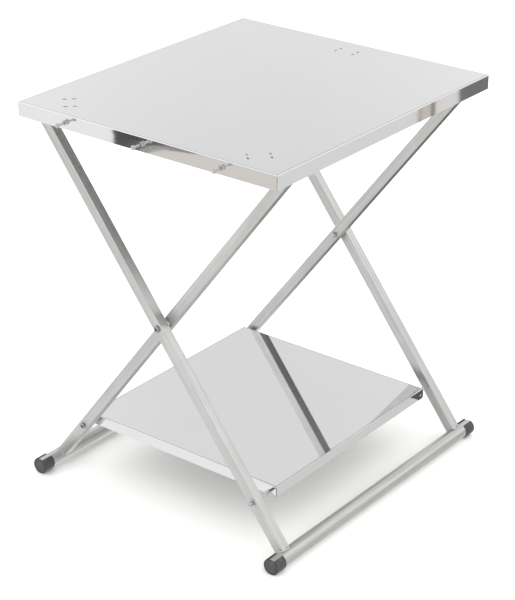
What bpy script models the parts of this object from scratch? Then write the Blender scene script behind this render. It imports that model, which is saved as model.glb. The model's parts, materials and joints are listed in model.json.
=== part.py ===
# Folding side table: pressed steel top, scissor legs, lift-up lower shelf.
# Units are metres, +Z is up, the front edge with the three pegs faces -Y.
import math

import bmesh
import bpy
from mathutils import Matrix

# ---- driving dimensions ----------------------------------------------------
GAP = 0.0003            # clearance between neighbouring pieces

TOP_LENGTH = 0.540      # X size of the top
TOP_DEPTH = 0.602       # Y size of the top
TOP_HEIGHT = 0.710      # upper face of the top above the floor
SHEET = 0.001           # sheet steel thickness
APRON = 0.0255          # height of the folded edge
BEND = 0.0012           # outside radius of the folds

CROSS_Z = 0.361         # leg crossing pivot above the floor
TUBE = 0.019            # square leg tube, outside
WALL = 0.0015           # tube wall
OUTER_Y = 0.263         # centre line of the outer leg pair
INNER_Y = 0.2405        # centre line of the inner leg pair
TOP_PIVOT_Z = 0.694     # tray hinge and sliding rod above the floor

BAR_X = 0.265           # foot bar centre line
BAR_Z = 0.015
BAR_R = 0.0132
CAP_R = 0.015
CAP_END_Y = 0.305       # outside face of the right bar's caps
INNER_CAP_END_Y = 0.301  # the left bar, on the inner legs, is a little shorter
CAP_LENGTH = 0.025
CAP_SLOT = 0.0132       # width of the open slot along the cap

SHELF_LEFT = -0.207
SHELF_RIGHT = 0.2142
SHELF_HALF_Y = 0.2235
SHELF_Z = 0.1114        # upper face of the shelf
SHELF_EDGE = 0.019      # height of its folded edge
ROD_Z = 0.099           # shelf rod and rest bolts above the floor

BOLT_R = 0.003
ROD_R = 0.0026          # shelf hinge rod
VENT_R = 0.0012         # vent hole at the foot of each welded outer leg
PEG_X = (-0.162, 0.001, 0.164)
PEG_Z = 0.6975
PEG_REACH = 0.0245

SLOPE = math.atan2(CROSS_Z - BAR_Z, BAR_X)
TOP_PIVOT_X = (TOP_PIVOT_Z - CROSS_Z) / math.tan(SLOPE)
ROD_X = (CROSS_Z - ROD_Z) / math.tan(SLOPE)
LEG_UP = (TOP_PIVOT_Z - CROSS_Z) / math.sin(SLOPE)
LEG_DOWN = (CROSS_Z - BAR_Z) / math.sin(SLOPE)
APRON_Y = TOP_DEPTH / 2
CENTRE_SHIFT_Y = (PEG_REACH + APRON_Y - CAP_END_Y) / 2

# ---- start clean -----------------------------------------------------------
for old in list(bpy.data.objects):
    bpy.data.objects.remove(old, do_unlink=True)

COLLECTION = bpy.context.scene.collection


# ---- materials -------------------------------------------------------------
def make_material(name, colour, roughness, metallic):
    mat = bpy.data.materials.new(name)
    mat.use_nodes = True
    shader = mat.node_tree.nodes["Principled BSDF"]
    shader.inputs["Base Color"].default_value = (colour[0], colour[1], colour[2], 1.0)
    shader.inputs["Roughness"].default_value = roughness
    shader.inputs["Metallic"].default_value = metallic
    mat.diffuse_color = (colour[0], colour[1], colour[2], 1.0)
    return mat


STYLES = {
    "polished_steel": ((0.80, 0.80, 0.79), 0.08, 1.0),
    "satin_aluminium": ((0.70, 0.71, 0.70), 0.34, 1.0),
    "chrome": ((0.85, 0.85, 0.85), 0.06, 1.0),
    "zinc": ((0.62, 0.68, 0.72), 0.25, 1.0),
    "black_plastic": ((0.035, 0.035, 0.037), 0.55, 0.0),
    "white_nylon": ((0.82, 0.82, 0.80), 0.50, 0.0),
    "galvanised_steel": ((0.55, 0.56, 0.57), 0.42, 1.0),
}


def finish(obj, style, smooth=False):
    colour, roughness, metallic = STYLES[style]
    obj.data.materials.clear()
    obj.data.materials.append(make_material(obj.name, colour, roughness, metallic))
    if smooth:
        for face in obj.data.polygons:
            face.use_smooth = True
        obj.data.set_sharp_from_angle(angle=math.radians(35))
    return obj


# ---- shape helpers ---------------------------------------------------------
def object_from(bm, name):
    bmesh.ops.recalc_face_normals(bm, faces=bm.faces)
    mesh = bpy.data.meshes.new(name)
    bm.to_mesh(mesh)
    bm.free()
    obj = bpy.data.objects.new(name, mesh)
    COLLECTION.objects.link(obj)
    return obj


def add_block(bm, low, high):
    size = [high[i] - low[i] for i in range(3)]
    mid = [(high[i] + low[i]) / 2 for i in range(3)]
    place = Matrix.Translation(mid) @ Matrix.Diagonal((size[0], size[1], size[2], 1.0))
    return bmesh.ops.create_cube(bm, size=1.0, matrix=place)["verts"]


def add_prism(bm, outline, low_y, high_y):
    """Outline is a list of (x, z) points, drawn out along Y."""
    base = [bm.verts.new((x, low_y, z)) for x, z in outline]
    face = bm.faces.new(base)
    drawn = bmesh.ops.extrude_face_region(bm, geom=[face])["geom"]
    moved = [item for item in drawn if isinstance(item, bmesh.types.BMVert)]
    bmesh.ops.translate(bm, verts=moved, vec=(0.0, high_y - low_y, 0.0))


def turned(name, profile, steps):
    """Spin (radius, height) points about Z; a radius of 0 sits on the axis."""
    bm = bmesh.new()
    line = [bm.verts.new((radius, 0.0, height)) for radius, height in profile]
    edges = [bm.edges.new((line[i], line[i + 1])) for i in range(len(line) - 1)]
    if profile[0][0] > 0.0:
        edges.append(bm.edges.new((line[-1], line[0])))
    bmesh.ops.spin(bm, geom=line + edges, cent=(0, 0, 0), axis=(0, 0, 1),
                   angle=math.tau, steps=steps, use_merge=True)
    bmesh.ops.remove_doubles(bm, verts=bm.verts, dist=0.000001)
    return object_from(bm, name)


def point_along_y(obj, x, y, z, facing):
    """Lay a turned piece down so its +Z runs along +Y or -Y."""
    obj.rotation_euler = (-facing * math.pi / 2, 0.0, 0.0)
    obj.location = (x, y, z)
    return obj


def bore_cutter(name, radius, length, steps=24):
    return cutter(turned(name, [(0.0, 0.0), (radius, 0.0), (radius, length), (0.0, length)], steps))


def cutter(obj):
    obj.hide_render = True
    obj.display_type = "WIRE"
    return obj


def boolean(target, tool, kind="DIFFERENCE"):
    step = target.modifiers.new(tool.name, "BOOLEAN")
    step.operation = kind
    step.solver = "EXACT"
    step.object = tool


def hex_nut(name, flats, height, bore, style):
    bm = bmesh.new()
    radius = flats / math.cos(math.pi / 6) / 2
    turn = Matrix.Translation((0, 0, height / 2))
    bmesh.ops.create_cone(bm, cap_ends=True, segments=6, radius1=radius, radius2=radius,
                          depth=height, matrix=turn)
    rims = [e for e in bm.edges if abs(e.verts[0].co.z - e.verts[1].co.z) < 1e-6]
    bmesh.ops.bevel(bm, geom=rims, offset=flats * 0.05, segments=1, affect="EDGES")
    nut = object_from(bm, name)
    hole = bore_cutter(name + "_bore", bore, height * 3, 16)
    hole.location = (0, 0, -height)
    hole.parent = nut
    boolean(nut, hole)
    return finish(nut, style)


# ---- moving groups ---------------------------------------------------------
def pivot(name, x, z):
    empty = bpy.data.objects.new(name, None)
    empty.location = (x, 0.0, z)
    COLLECTION.objects.link(empty)
    return empty


OUTER = pivot("outer_frame_origin", 0.0, 0.0)
INNER = pivot("inner_frame_pivot", 0.0, CROSS_Z)
TRAY = pivot("tray_pivot", -TOP_PIVOT_X, TOP_PIVOT_Z)
SHELF = pivot("shelf_pivot", ROD_X, ROD_Z)


def attach(obj, group):
    obj.parent = group
    obj.matrix_parent_inverse = Matrix.Translation(-group.location)
    return obj


# ---- the top ---------------------------------------------------------------
def open_box(name, low, high, bend):
    """A sheet pan, open below, with rounded folds along its upper edges."""
    bm = bmesh.new()
    add_block(bm, low, high)
    rims = [e for e in bm.edges if min(e.verts[0].co.z, e.verts[1].co.z) > high[2] - 0.0001]
    bmesh.ops.bevel(bm, geom=rims, offset=bend, segments=3, affect="EDGES", profile=0.5)
    pan = object_from(bm, name)
    bm = bmesh.new()
    add_block(bm, (low[0] + SHEET, low[1] + SHEET, low[2] - 0.01),
              (high[0] - SHEET, high[1] - SHEET, high[2] - SHEET))
    boolean(pan, cutter(object_from(bm, name + "_inside")))
    return pan


def corner_slits(name, half, low_z, high_z):
    """Thin upright cuts across the four folded corners."""
    bm = bmesh.new()
    for x, y in half:
        place = Matrix.Translation((x, y, 0)) @ Matrix.Rotation(math.atan2(y, x), 4, "Z")
        angle = math.copysign(math.pi / 4, x * y)
        place = Matrix.Translation((x, y, 0)) @ Matrix.Rotation(angle, 4, "Z")
        verts = add_block(bm, (-0.004, -0.0003, low_z), (0.004, 0.0003, high_z))
        bmesh.ops.transform(bm, matrix=place, verts=verts)
    return cutter(object_from(bm, name))


def add_slot(bm, x, y, angle):
    """Round-ended foot slot, 8.5 mm by 3 mm, cut down through the sheet."""
    length, radius, steps = 0.0055, 0.0015, 6
    ring = []
    for end in (1, -1):
        for i in range(steps + 1):
            a = math.pi * (i / steps - 0.5) + (0.0 if end == 1 else math.pi)
            px = end * length / 2 + radius * math.cos(a)
            py = radius * math.sin(a)
            ring.append((x + px * math.cos(angle) - py * math.sin(angle),
                         y + px * math.sin(angle) + py * math.cos(angle)))
    base = [bm.verts.new((px, py, TOP_HEIGHT - 0.004)) for px, py in ring]
    face = bm.faces.new(base)
    drawn = bmesh.ops.extrude_face_region(bm, geom=[face])["geom"]
    moved = [item for item in drawn if isinstance(item, bmesh.types.BMVert)]
    bmesh.ops.translate(bm, verts=moved, vec=(0.0, 0.0, 0.008))


tray = open_box("tabletop_tray",
                (-TOP_LENGTH / 2, -APRON_Y, TOP_HEIGHT - APRON),
                (TOP_LENGTH / 2, APRON_Y, TOP_HEIGHT), BEND)

# three groups of four slots that locate the feet of a round hot plate
slots = bmesh.new()
for gx, gy, turn in ((-0.1975, -0.253, 45), (0.1985, -0.253, 135), (0.003, 0.253, 90)):
    a = math.radians(turn)
    for out in (-0.008, 0.008):
        for side in (-0.0185, 0.0185):
            sx = gx + out * math.cos(a) - side * math.sin(a)
            sy = gy + out * math.sin(a) + side * math.cos(a)
            add_slot(slots, sx, sy, a)
boolean(tray, cutter(object_from(slots, "foot_slots")))

corners = [(sx * TOP_LENGTH / 2, sy * APRON_Y) for sx in (-1, 1) for sy in (-1, 1)]
boolean(tray, corner_slits("tray_corner_slits", corners,
                           TOP_HEIGHT - APRON - 0.01, TOP_HEIGHT - 0.0022))

for number, x in enumerate(PEG_X):
    hole = bore_cutter("peg_hole_%d" % number, 0.002 + GAP, 0.006, 16)
    point_along_y(hole, x, -APRON_Y - 0.002, PEG_Z, 1)
    boolean(tray, hole)
attach(finish(tray, "polished_steel", smooth=True), TRAY)

# slotted rails under the top: hinge hole at the left, long slot to the right
FOLD_LIMIT = math.radians(70)
OPEN_LEFT = math.pi - 2 * SLOPE - FOLD_LIMIT
TRAVEL_END = 2 * math.hypot(TOP_PIVOT_X, TOP_PIVOT_Z - CROSS_Z) * math.sin(abs(math.pi - 2 * SLOPE - FOLD_LIMIT) / 2)
for side, word in ((-1, "front"), (1, "rear")):
    bm = bmesh.new()
    web_in = 0.2775
    low_z = TOP_HEIGHT - APRON
    high_z = TOP_HEIGHT - SHEET - GAP
    shape = [(web_in, low_z), (web_in + 0.0015, low_z), (web_in + 0.0015, high_z - 0.0015),
             (0.297, high_z - 0.0015), (0.297, high_z), (web_in, high_z)]
    base = [bm.verts.new((-0.264, side * y, z)) for y, z in shape]
    face = bm.faces.new(base)
    drawn = bmesh.ops.extrude_face_region(bm, geom=[face])["geom"]
    moved = [item for item in drawn if isinstance(item, bmesh.types.BMVert)]
    bmesh.ops.translate(bm, verts=moved, vec=(0.528, 0.0, 0.0))
    rail = object_from(bm, "guide_rail_" + word)
    bm = bmesh.new()
    slot_r = 0.0053
    left = -TOP_PIVOT_X + TRAVEL_END - 0.001
    right = TOP_PIVOT_X
    ring = []
    for centre, start in ((right, -0.5), (left, 0.5)):
        for i in range(9):
            a = math.pi * (start + i / 8)
            ring.append((centre + slot_r * math.cos(a), TOP_PIVOT_Z + slot_r * math.sin(a)))
    add_prism(bm, ring, side * 0.274, side * 0.283)
    boolean(rail, cutter(object_from(bm, "rail_slot_" + word)))
    hole = bore_cutter("rail_hole_" + word, BOLT_R + GAP, 0.006)
    point_along_y(hole, -TOP_PIVOT_X, side * 0.275, TOP_PIVOT_Z, side)
    boolean(rail, hole)
    attach(finish(rail, "galvanised_steel"), TRAY)

# utensil pegs on the front edge: stud with a ball end, hex collar, inside nut
PLACES = ("left", "middle", "right")
for word, x in zip(PLACES, PEG_X):
    ball = [(0.0, -0.0062)]
    ball += [(0.002, -0.0062), (0.002, 0.0162)]
    for i in range(1, 9):
        a = math.radians(-60 + 150 * i / 8)
        ball.append((0.0040 * math.cos(a), PEG_REACH - 0.0040 + 0.0040 * math.sin(a)))
    ball[-1] = (0.0, PEG_REACH)
    peg = point_along_y(turned("peg_stud_" + word, ball, 20), x, -APRON_Y, PEG_Z, -1)
    attach(finish(peg, "chrome", smooth=True), TRAY)
    collar = hex_nut("peg_collar_" + word, 0.0085, 0.0042, 0.002 + GAP, "chrome")
    attach(point_along_y(collar, x, -APRON_Y - GAP, PEG_Z, -1), TRAY)
    nut = hex_nut("peg_nut_" + word, 0.007, 0.0032, 0.002 + GAP, "zinc")
    attach(point_along_y(nut, x, -APRON_Y + SHEET + GAP, PEG_Z, 1), TRAY)


# ---- legs ------------------------------------------------------------------
def leg(name, y, lean, drilled):
    """Square tube through the crossing; lean +1 rises to the right."""
    half = TUBE / 2
    bm = bmesh.new()
    add_block(bm, (-half, -half, -LEG_DOWN), (half, half, LEG_UP + 0.006))
    uprights = [e for e in bm.edges if abs(e.verts[0].co.z - e.verts[1].co.z) > 0.1]
    bmesh.ops.bevel(bm, geom=uprights, offset=0.0015, segments=3, affect="EDGES", profile=0.5)
    tube = object_from(bm, name)
    tube.rotation_euler = (0.0, lean * (math.pi / 2 - SLOPE), 0.0)
    tube.location = (0.0, y, CROSS_Z)
    bm = bmesh.new()
    inside = half - WALL
    add_block(bm, (-inside, -inside, -LEG_DOWN - 0.01), (inside, inside, LEG_UP + 0.02))
    hollow = cutter(object_from(bm, name + "_inside"))
    hollow.parent = tube
    boolean(tube, hollow)
    cope = bore_cutter(name + "_cope", BAR_R + GAP, TUBE * 2, 48)
    cope.parent = tube
    point_along_y(cope, 0.0, -TUBE, -LEG_DOWN, 1)
    boolean(tube, cope)
    for label, along, radius in drilled:
        hole = bore_cutter(name + "_" + label, radius + GAP, TUBE * 2)
        hole.parent = tube
        point_along_y(hole, 0.0, -TUBE, along, 1)
        boolean(tube, hole)
    return finish(tube, "satin_aluminium", smooth=True)


ROD_DOWN = -math.hypot(ROD_X, CROSS_Z - ROD_Z)
VENT_DOWN = 0.0132 - LEG_DOWN
VENT_OFFSET = 0.0025
for side, word in ((-1, "front"), (1, "rear")):
    tube = leg("outer_leg_" + word, side * OUTER_Y, -1,
               [("pivot_hole", 0.0, BOLT_R), ("rod_hole", ROD_DOWN, ROD_R), ("hinge_hole", LEG_UP, BOLT_R)])
    vent = bore_cutter("vent_hole_" + word, VENT_R, 0.004, 16)
    vent.parent = tube
    vent.rotation_euler = (0.0, math.pi / 2, 0.0)
    vent.location = (TUBE / 2 - 0.003, VENT_OFFSET, VENT_DOWN)
    boolean(tube, vent)
    attach(tube, OUTER)
    tube = leg("inner_leg_" + word, side * INNER_Y, 1,
               [("pivot_hole", 0.0, BOLT_R), ("rest_hole", ROD_DOWN, BOLT_R), ("slide_hole", LEG_UP, 0.004)])
    attach(tube, INNER)


def leg_plug(name, y, lean):
    """Square plastic plug in the open upper end of a leg."""
    half = TUBE / 2
    bm = bmesh.new()
    add_block(bm, (-half, -half, GAP), (half, half, 0.0018))
    corners = [e for e in bm.edges if abs(e.verts[0].co.z - e.verts[1].co.z) > 0.001]
    bmesh.ops.bevel(bm, geom=corners, offset=0.0015, segments=3, affect="EDGES", profile=0.5)
    plug = object_from(bm, name)
    bm = bmesh.new()
    core = half - WALL - GAP
    add_block(bm, (-core, -core, -0.0012), (core, core, 0.0008))
    stem = cutter(object_from(bm, name + "_core"))
    stem.parent = plug
    boolean(plug, stem, "UNION")
    tilt = lean * (math.pi / 2 - SLOPE)
    plug.rotation_euler = (0.0, tilt, 0.0)
    reach = LEG_UP + 0.006
    plug.location = (reach * math.sin(tilt), y, CROSS_Z + reach * math.cos(tilt))
    return finish(plug, "black_plastic")


# ---- foot bars and their caps ----------------------------------------------
def foot_bar(name, x, cap_end):
    end = cap_end - 0.002 - GAP
    profile = [(BAR_R - WALL, 0.0), (BAR_R, 0.0), (BAR_R, end * 2), (BAR_R - WALL, end * 2)]
    bar = turned(name, profile, 48)
    point_along_y(bar, x, -end, BAR_Z, 1)
    return finish(bar, "satin_aluminium", smooth=True)


def foot_cap(name, x, side, cap_end):
    """C-shaped sleeve with an end disc; its slot leaves the tube bare on top."""
    bore = BAR_R + GAP
    profile = [(0.0, 0.0), (CAP_R - 0.001, 0.0), (CAP_R, 0.001), (CAP_R, CAP_LENGTH - 0.0012),
               (CAP_R - 0.0008, CAP_LENGTH), (bore, CAP_LENGTH), (bore, 0.002), (0.0, 0.002)]
    cap = turned(name, profile, 48)
    point_along_y(cap, x, side * cap_end, BAR_Z, -side)
    bm = bmesh.new()
    add_block(bm, (-CAP_SLOT / 2, -0.002, 0.0121), (CAP_SLOT / 2, CAP_LENGTH + 0.002, 0.02))
    opening = cutter(object_from(bm, name + "_slot"))
    turn = 0.0 if side < 0 else math.pi
    opening.rotation_euler = (0.0, 0.0, turn)
    opening.location = (x, side * cap_end, BAR_Z)
    boolean(cap, opening)
    opening.parent = OUTER if x > 0 else INNER
    opening.matrix_parent_inverse = Matrix.Translation(-opening.parent.location)
    return finish(cap, "black_plastic", smooth=True)


for x, word, group, cap_end in ((BAR_X, "right", OUTER, CAP_END_Y),
                                (-BAR_X, "left", INNER, INNER_CAP_END_Y)):
    attach(foot_bar("foot_bar_" + word, x, cap_end), group)
    for side, end in ((-1, "front"), (1, "rear")):
        attach(foot_cap("foot_cap_%s_%s" % (word, end), x, side, cap_end), group)
for side, word in ((-1, "front"), (1, "rear")):
    attach(leg_plug("outer_leg_plug_" + word, side * OUTER_Y, -1), OUTER)
    attach(leg_plug("inner_leg_plug_" + word, side * INNER_Y, 1), INNER)


# ---- fasteners -------------------------------------------------------------
def dome(radius, height, steps=6):
    """Points of a low dome from its rim up to the axis."""
    points = []
    for i in range(steps + 1):
        a = math.pi / 2 * i / steps
        points.append((radius * math.cos(a), height * math.sin(a)))
    points[-1] = (0.0, height)
    return points


def dome_bolt(name, shank, length, head, rise, style):
    """Shank runs down from the head's seat at height 0."""
    profile = [(0.0, -length), (shank, -length), (shank, 0.0), (head, 0.0)]
    profile += [(r, h + 0.0008) for r, h in dome(head, rise - 0.0008)]
    return finish(turned(name, profile, 24), style, smooth=True)


def dome_nut(name, bore, depth, radius, rise, style):
    """Blind nut: seat at height 0, closed dome above."""
    profile = [(0.0, depth), (bore, depth), (bore, 0.0), (radius, 0.0)]
    profile += [(r, h + 0.0015) for r, h in dome(radius, rise - 0.0015)]
    return finish(turned(name, profile, 24), style, smooth=True)


def washer(name, bore, radius, height, style):
    profile = [(bore, 0.0), (radius, 0.0), (radius, height), (bore, height)]
    return finish(turned(name, profile, 24), style, smooth=True)


OUT_FACE = OUTER_Y + TUBE / 2
OUT_BACK = OUTER_Y - TUBE / 2
IN_FACE = INNER_Y + TUBE / 2
IN_BACK = INNER_Y - TUBE / 2
for side, word in ((-1, "front"), (1, "rear")):
    # crossing pivot: dome bolt outside, spacer between the tubes, dome nut inside
    bolt = dome_bolt("pivot_bolt_" + word, BOLT_R, 0.0455, 0.0062, 0.0034, "chrome")
    attach(point_along_y(bolt, 0.0, side * (OUT_FACE + GAP), CROSS_Z, side), OUTER)
    spacer = washer("pivot_spacer_" + word, BOLT_R + GAP, 0.0075,
                    OUT_BACK - IN_FACE - 2 * GAP, "white_nylon")
    attach(point_along_y(spacer, 0.0, side * (IN_FACE + GAP), CROSS_Z, side), OUTER)
    nut = dome_nut("pivot_nut_" + word, BOLT_R + GAP, 0.0042, 0.0058, 0.0058, "chrome")
    attach(point_along_y(nut, 0.0, side * (IN_BACK - GAP), CROSS_Z, -side), OUTER)

    # hinge of the top: bolt through the rail, spacer, leg and nut
    rail_out = 0.279
    bolt = dome_bolt("tray_hinge_bolt_" + word, BOLT_R, 0.0312, 0.0055, 0.0034, "zinc")
    attach(point_along_y(bolt, -TOP_PIVOT_X, side * (rail_out + GAP), TOP_PIVOT_Z, side), OUTER)
    spacer = washer("tray_hinge_spacer_" + word, BOLT_R + GAP, 0.0065,
                    0.2775 - OUT_FACE - 2 * GAP, "white_nylon")
    attach(point_along_y(spacer, -TOP_PIVOT_X, side * (OUT_FACE + GAP), TOP_PIVOT_Z, side), OUTER)
    nut = hex_nut("tray_hinge_nut_" + word, 0.010, 0.0042, BOLT_R + GAP, "zinc")
    attach(point_along_y(nut, -TOP_PIVOT_X, side * (OUT_BACK - GAP), TOP_PIVOT_Z, -side), OUTER)

    # fittings on the shelf rod
    seat = washer("shelf_rod_washer_" + word, ROD_R + GAP, 0.0078, 0.0010, "zinc")
    attach(point_along_y(seat, ROD_X, side * (OUT_FACE + GAP), ROD_Z, side), OUTER)
    nut = dome_nut("shelf_rod_dome_nut_" + word, ROD_R + GAP, 0.0048, 0.0050, 0.0064, "chrome")
    attach(point_along_y(nut, ROD_X, side * (OUT_FACE + 0.0010 + 2 * GAP), ROD_Z, side), OUTER)
    nut = hex_nut("shelf_rod_locknut_" + word, 0.008, 0.0045, ROD_R + GAP, "zinc")
    attach(point_along_y(nut, ROD_X, side * (OUT_BACK - GAP), ROD_Z, -side), OUTER)

    # rest bolts on the inner legs: the left side of the shelf hooks on these
    seat = washer("shelf_rest_washer_" + word, BOLT_R + GAP, 0.0072, 0.0008, "zinc")
    attach(point_along_y(seat, -ROD_X, side * (IN_FACE + GAP), ROD_Z, side), INNER)
    bolt = dome_bolt("shelf_rest_bolt_" + word, BOLT_R, 0.0355, 0.0052, 0.0032, "chrome")
    attach(point_along_y(bolt, -ROD_X, side * (IN_FACE + 0.0008 + 2 * GAP), ROD_Z, side), INNER)
    nut = hex_nut("shelf_rest_nut_" + word, 0.010, 0.0045, BOLT_R + GAP, "zinc")
    attach(point_along_y(nut, -ROD_X, side * (IN_BACK - GAP), ROD_Z, -side), INNER)

    # the sliding rod's nylon bush runs in the rail slot, held by a clip
    profile = [(0.004 + GAP, 0.0), (0.008, 0.0), (0.008, 0.0018), (0.005, 0.0018),
               (0.005, 0.0044), (0.004 + GAP, 0.0044)]
    bush = finish(turned("slide_bush_" + word, profile, 24), "white_nylon", smooth=True)
    attach(point_along_y(bush, TOP_PIVOT_X, side * 0.2754, TOP_PIVOT_Z, side), INNER)
    clip = washer("slide_rod_clip_" + word, 0.004 + GAP, 0.0072, 0.0012, "galvanised_steel")
    attach(point_along_y(clip, TOP_PIVOT_X, side * 0.2803, TOP_PIVOT_Z, side), INNER)


def cross_rod(name, radius, reach, x, z, style, steps):
    profile = [(0.0, 0.0), (radius - 0.0004, 0.0), (radius, 0.0004), (radius, 2 * reach - 0.0004),
               (radius - 0.0004, 2 * reach), (0.0, 2 * reach)]
    rod = turned(name, profile, steps)
    return finish(point_along_y(rod, x, -reach, z, 1), style, smooth=True)


attach(cross_rod("shelf_hinge_rod", ROD_R, OUT_FACE + 0.0052, ROD_X, ROD_Z, "zinc", 24), OUTER)
attach(cross_rod("slide_rod", 0.004, 0.2835, TOP_PIVOT_X, TOP_PIVOT_Z, "zinc", 24), INNER)

# round brace that ties the two outer legs together just under the top
BRACE = LEG_UP - 0.030
brace = cross_rod("outer_frame_brace", 0.006, OUT_BACK - GAP, -BRACE * math.cos(SLOPE),
                  CROSS_Z + BRACE * math.sin(SLOPE), "satin_aluminium", 24)
attach(brace, OUTER)

# ---- lower shelf -----------------------------------------------------------
shelf_low = SHELF_Z - SHELF_EDGE
shelf = open_box("shelf_tray", (SHELF_LEFT, -SHELF_HALF_Y, shelf_low),
                 (SHELF_RIGHT, SHELF_HALF_Y, SHELF_Z), 0.0010)

bm = bmesh.new()
hook_r = BOLT_R + GAP
below = shelf_low - 0.003
hook = [(-ROD_X + hook_r * math.cos(a), ROD_Z + hook_r * math.sin(a))
        for a in [math.pi * i / 8 for i in range(9)]]
hook += [(-ROD_X - hook_r - 0.002, below), (-ROD_X + hook_r, below)]
# slanted slot, open below, round the rod: it leaves a pointed ear on the right edge
slot_top = SHELF_Z - 0.0032
slot_left = ROD_X - 0.0056 - ROD_Z
ear_tip = ROD_X + ROD_R + 0.0010
ear_root = SHELF_RIGHT - SHEET - 0.0002
slot = [(slot_left + below, below), (slot_left + slot_top, slot_top), (ear_root, slot_top),
        (ear_tip, ROD_Z), (ear_root, shelf_low + 0.0002), (ear_root, below)]
for side in (-1, 1):
    add_prism(bm, hook, side * (SHELF_HALF_Y + 0.002), side * (SHELF_HALF_Y - 0.003))
    add_prism(bm, slot, side * (SHELF_HALF_Y + 0.002), side * (SHELF_HALF_Y - 0.003))
boolean(shelf, cutter(object_from(bm, "shelf_edge_cuts")))

bm = bmesh.new()
for side in (-1, 1):
    # lug folded in from the right edge, drilled for the rod
    lug = [(0.1900, SHELF_Z - SHEET + 0.0004), (0.1900, shelf_low + 0.0032), (0.1940, shelf_low),
           (SHELF_RIGHT - SHEET + 0.0004, shelf_low), (SHELF_RIGHT - SHEET + 0.0004, SHELF_Z - SHEET + 0.0004)]
    add_prism(bm, lug, side * 0.2125, side * 0.2113)
boolean(shelf, cutter(object_from(bm, "shelf_lugs")), "UNION")
for side, word in ((-1, "front"), (1, "rear")):
    hole = bore_cutter("shelf_lug_hole_" + word, ROD_R + GAP, 0.006)
    point_along_y(hole, ROD_X, side * 0.209, ROD_Z, side)
    boolean(shelf, hole)

left_corners = [(SHELF_LEFT, -SHELF_HALF_Y), (SHELF_LEFT, SHELF_HALF_Y)]
boolean(shelf, corner_slits("shelf_corner_slits", left_corners, shelf_low - 0.01, SHELF_Z - 0.002))

# small hole near the rear end of the right edge
hole = bore_cutter("shelf_edge_hole", 0.0024, 0.006, 20)
hole.rotation_euler = (0.0, math.pi / 2, 0.0)
hole.location = (SHELF_RIGHT - 0.004, SHELF_HALF_Y - 0.008, SHELF_Z - 0.0109)
boolean(shelf, hole)

# the same edge has a rounded lower corner at its rear end
round_r = 0.005
bm = bmesh.new()
corner = [(-SHELF_HALF_Y + round_r * (1 - math.cos(a)), shelf_low + round_r * (1 - math.sin(a)))
          for a in [math.pi / 2 * i / 6 for i in range(7)]]
corner += [(-SHELF_HALF_Y + round_r, shelf_low - 0.003), (-SHELF_HALF_Y - 0.003, shelf_low - 0.003),
           (-SHELF_HALF_Y - 0.003, shelf_low + round_r)]
add_prism(bm, corner, SHELF_RIGHT - 0.002, SHELF_RIGHT + 0.002)
trim = cutter(object_from(bm, "shelf_corner_round"))
trim.rotation_euler = (0.0, 0.0, -math.pi / 2)
boolean(shelf, trim)
attach(finish(shelf, "polished_steel", smooth=True), SHELF)

# ---- centre the whole table on its bounding box ----------------------------
for obj in bpy.data.objects:
    if obj.parent is None:
        obj.location.y += CENTRE_SHIFT_Y
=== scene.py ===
# %% [markdown]
# # A folding side table in polished steel and satin aluminium
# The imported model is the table's fixed frame: every piece already has its true size and place.
# This file gives the pieces their finish, and models again the small ones that want more detail.

# %% Load the frame
import json
import math

import bpy
from mathutils import Matrix, Vector


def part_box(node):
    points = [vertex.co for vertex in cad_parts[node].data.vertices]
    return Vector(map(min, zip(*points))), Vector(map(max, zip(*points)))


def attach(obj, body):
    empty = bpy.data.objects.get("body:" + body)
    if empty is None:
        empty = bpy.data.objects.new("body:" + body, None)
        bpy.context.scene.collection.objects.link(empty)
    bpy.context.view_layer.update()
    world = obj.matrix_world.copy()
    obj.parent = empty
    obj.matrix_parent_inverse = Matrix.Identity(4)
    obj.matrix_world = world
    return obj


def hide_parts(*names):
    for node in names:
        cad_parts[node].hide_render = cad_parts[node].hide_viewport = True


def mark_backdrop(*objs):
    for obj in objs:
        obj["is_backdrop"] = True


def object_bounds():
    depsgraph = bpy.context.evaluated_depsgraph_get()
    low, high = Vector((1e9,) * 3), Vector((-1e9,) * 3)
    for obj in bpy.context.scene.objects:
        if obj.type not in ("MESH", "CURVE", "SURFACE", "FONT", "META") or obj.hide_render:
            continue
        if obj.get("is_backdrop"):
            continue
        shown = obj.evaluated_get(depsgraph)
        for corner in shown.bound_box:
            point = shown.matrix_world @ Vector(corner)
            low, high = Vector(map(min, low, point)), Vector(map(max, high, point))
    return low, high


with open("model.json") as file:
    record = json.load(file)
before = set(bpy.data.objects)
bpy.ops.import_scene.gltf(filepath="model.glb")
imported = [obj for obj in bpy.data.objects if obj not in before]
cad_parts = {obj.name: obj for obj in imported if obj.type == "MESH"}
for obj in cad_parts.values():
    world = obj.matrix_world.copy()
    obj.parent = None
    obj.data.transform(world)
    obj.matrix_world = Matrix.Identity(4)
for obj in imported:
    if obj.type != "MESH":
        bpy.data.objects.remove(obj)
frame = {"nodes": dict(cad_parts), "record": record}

cad_box = [list(corner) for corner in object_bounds()]
print("the table's box:", cad_box)

# %% [markdown]
# The camera stands in front and to the right, a little over three metres away and above the top,
# and looks down on it with a long lens. A long lens keeps the upright lines nearly parallel.

# %% Camera
CAMERA_PLACE = Vector((1.8600, -2.3880, 1.7509))
CAMERA_TURN = [math.radians(angle) for angle in (64.650, -0.135, 37.865)]
LENS = 113.25
SENSOR_WIDTH = 36.0
FAR_CLIP = 200.0

camera = bpy.data.objects.new("camera", bpy.data.cameras.new("camera"))
camera.data.lens = LENS
camera.data.sensor_width = SENSOR_WIDTH
camera.data.clip_end = FAR_CLIP
camera.location = CAMERA_PLACE
camera.rotation_euler = CAMERA_TURN
bpy.context.scene.collection.objects.link(camera)
bpy.context.scene.camera = camera
bpy.context.scene.view_settings.view_transform = "Standard"

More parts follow.
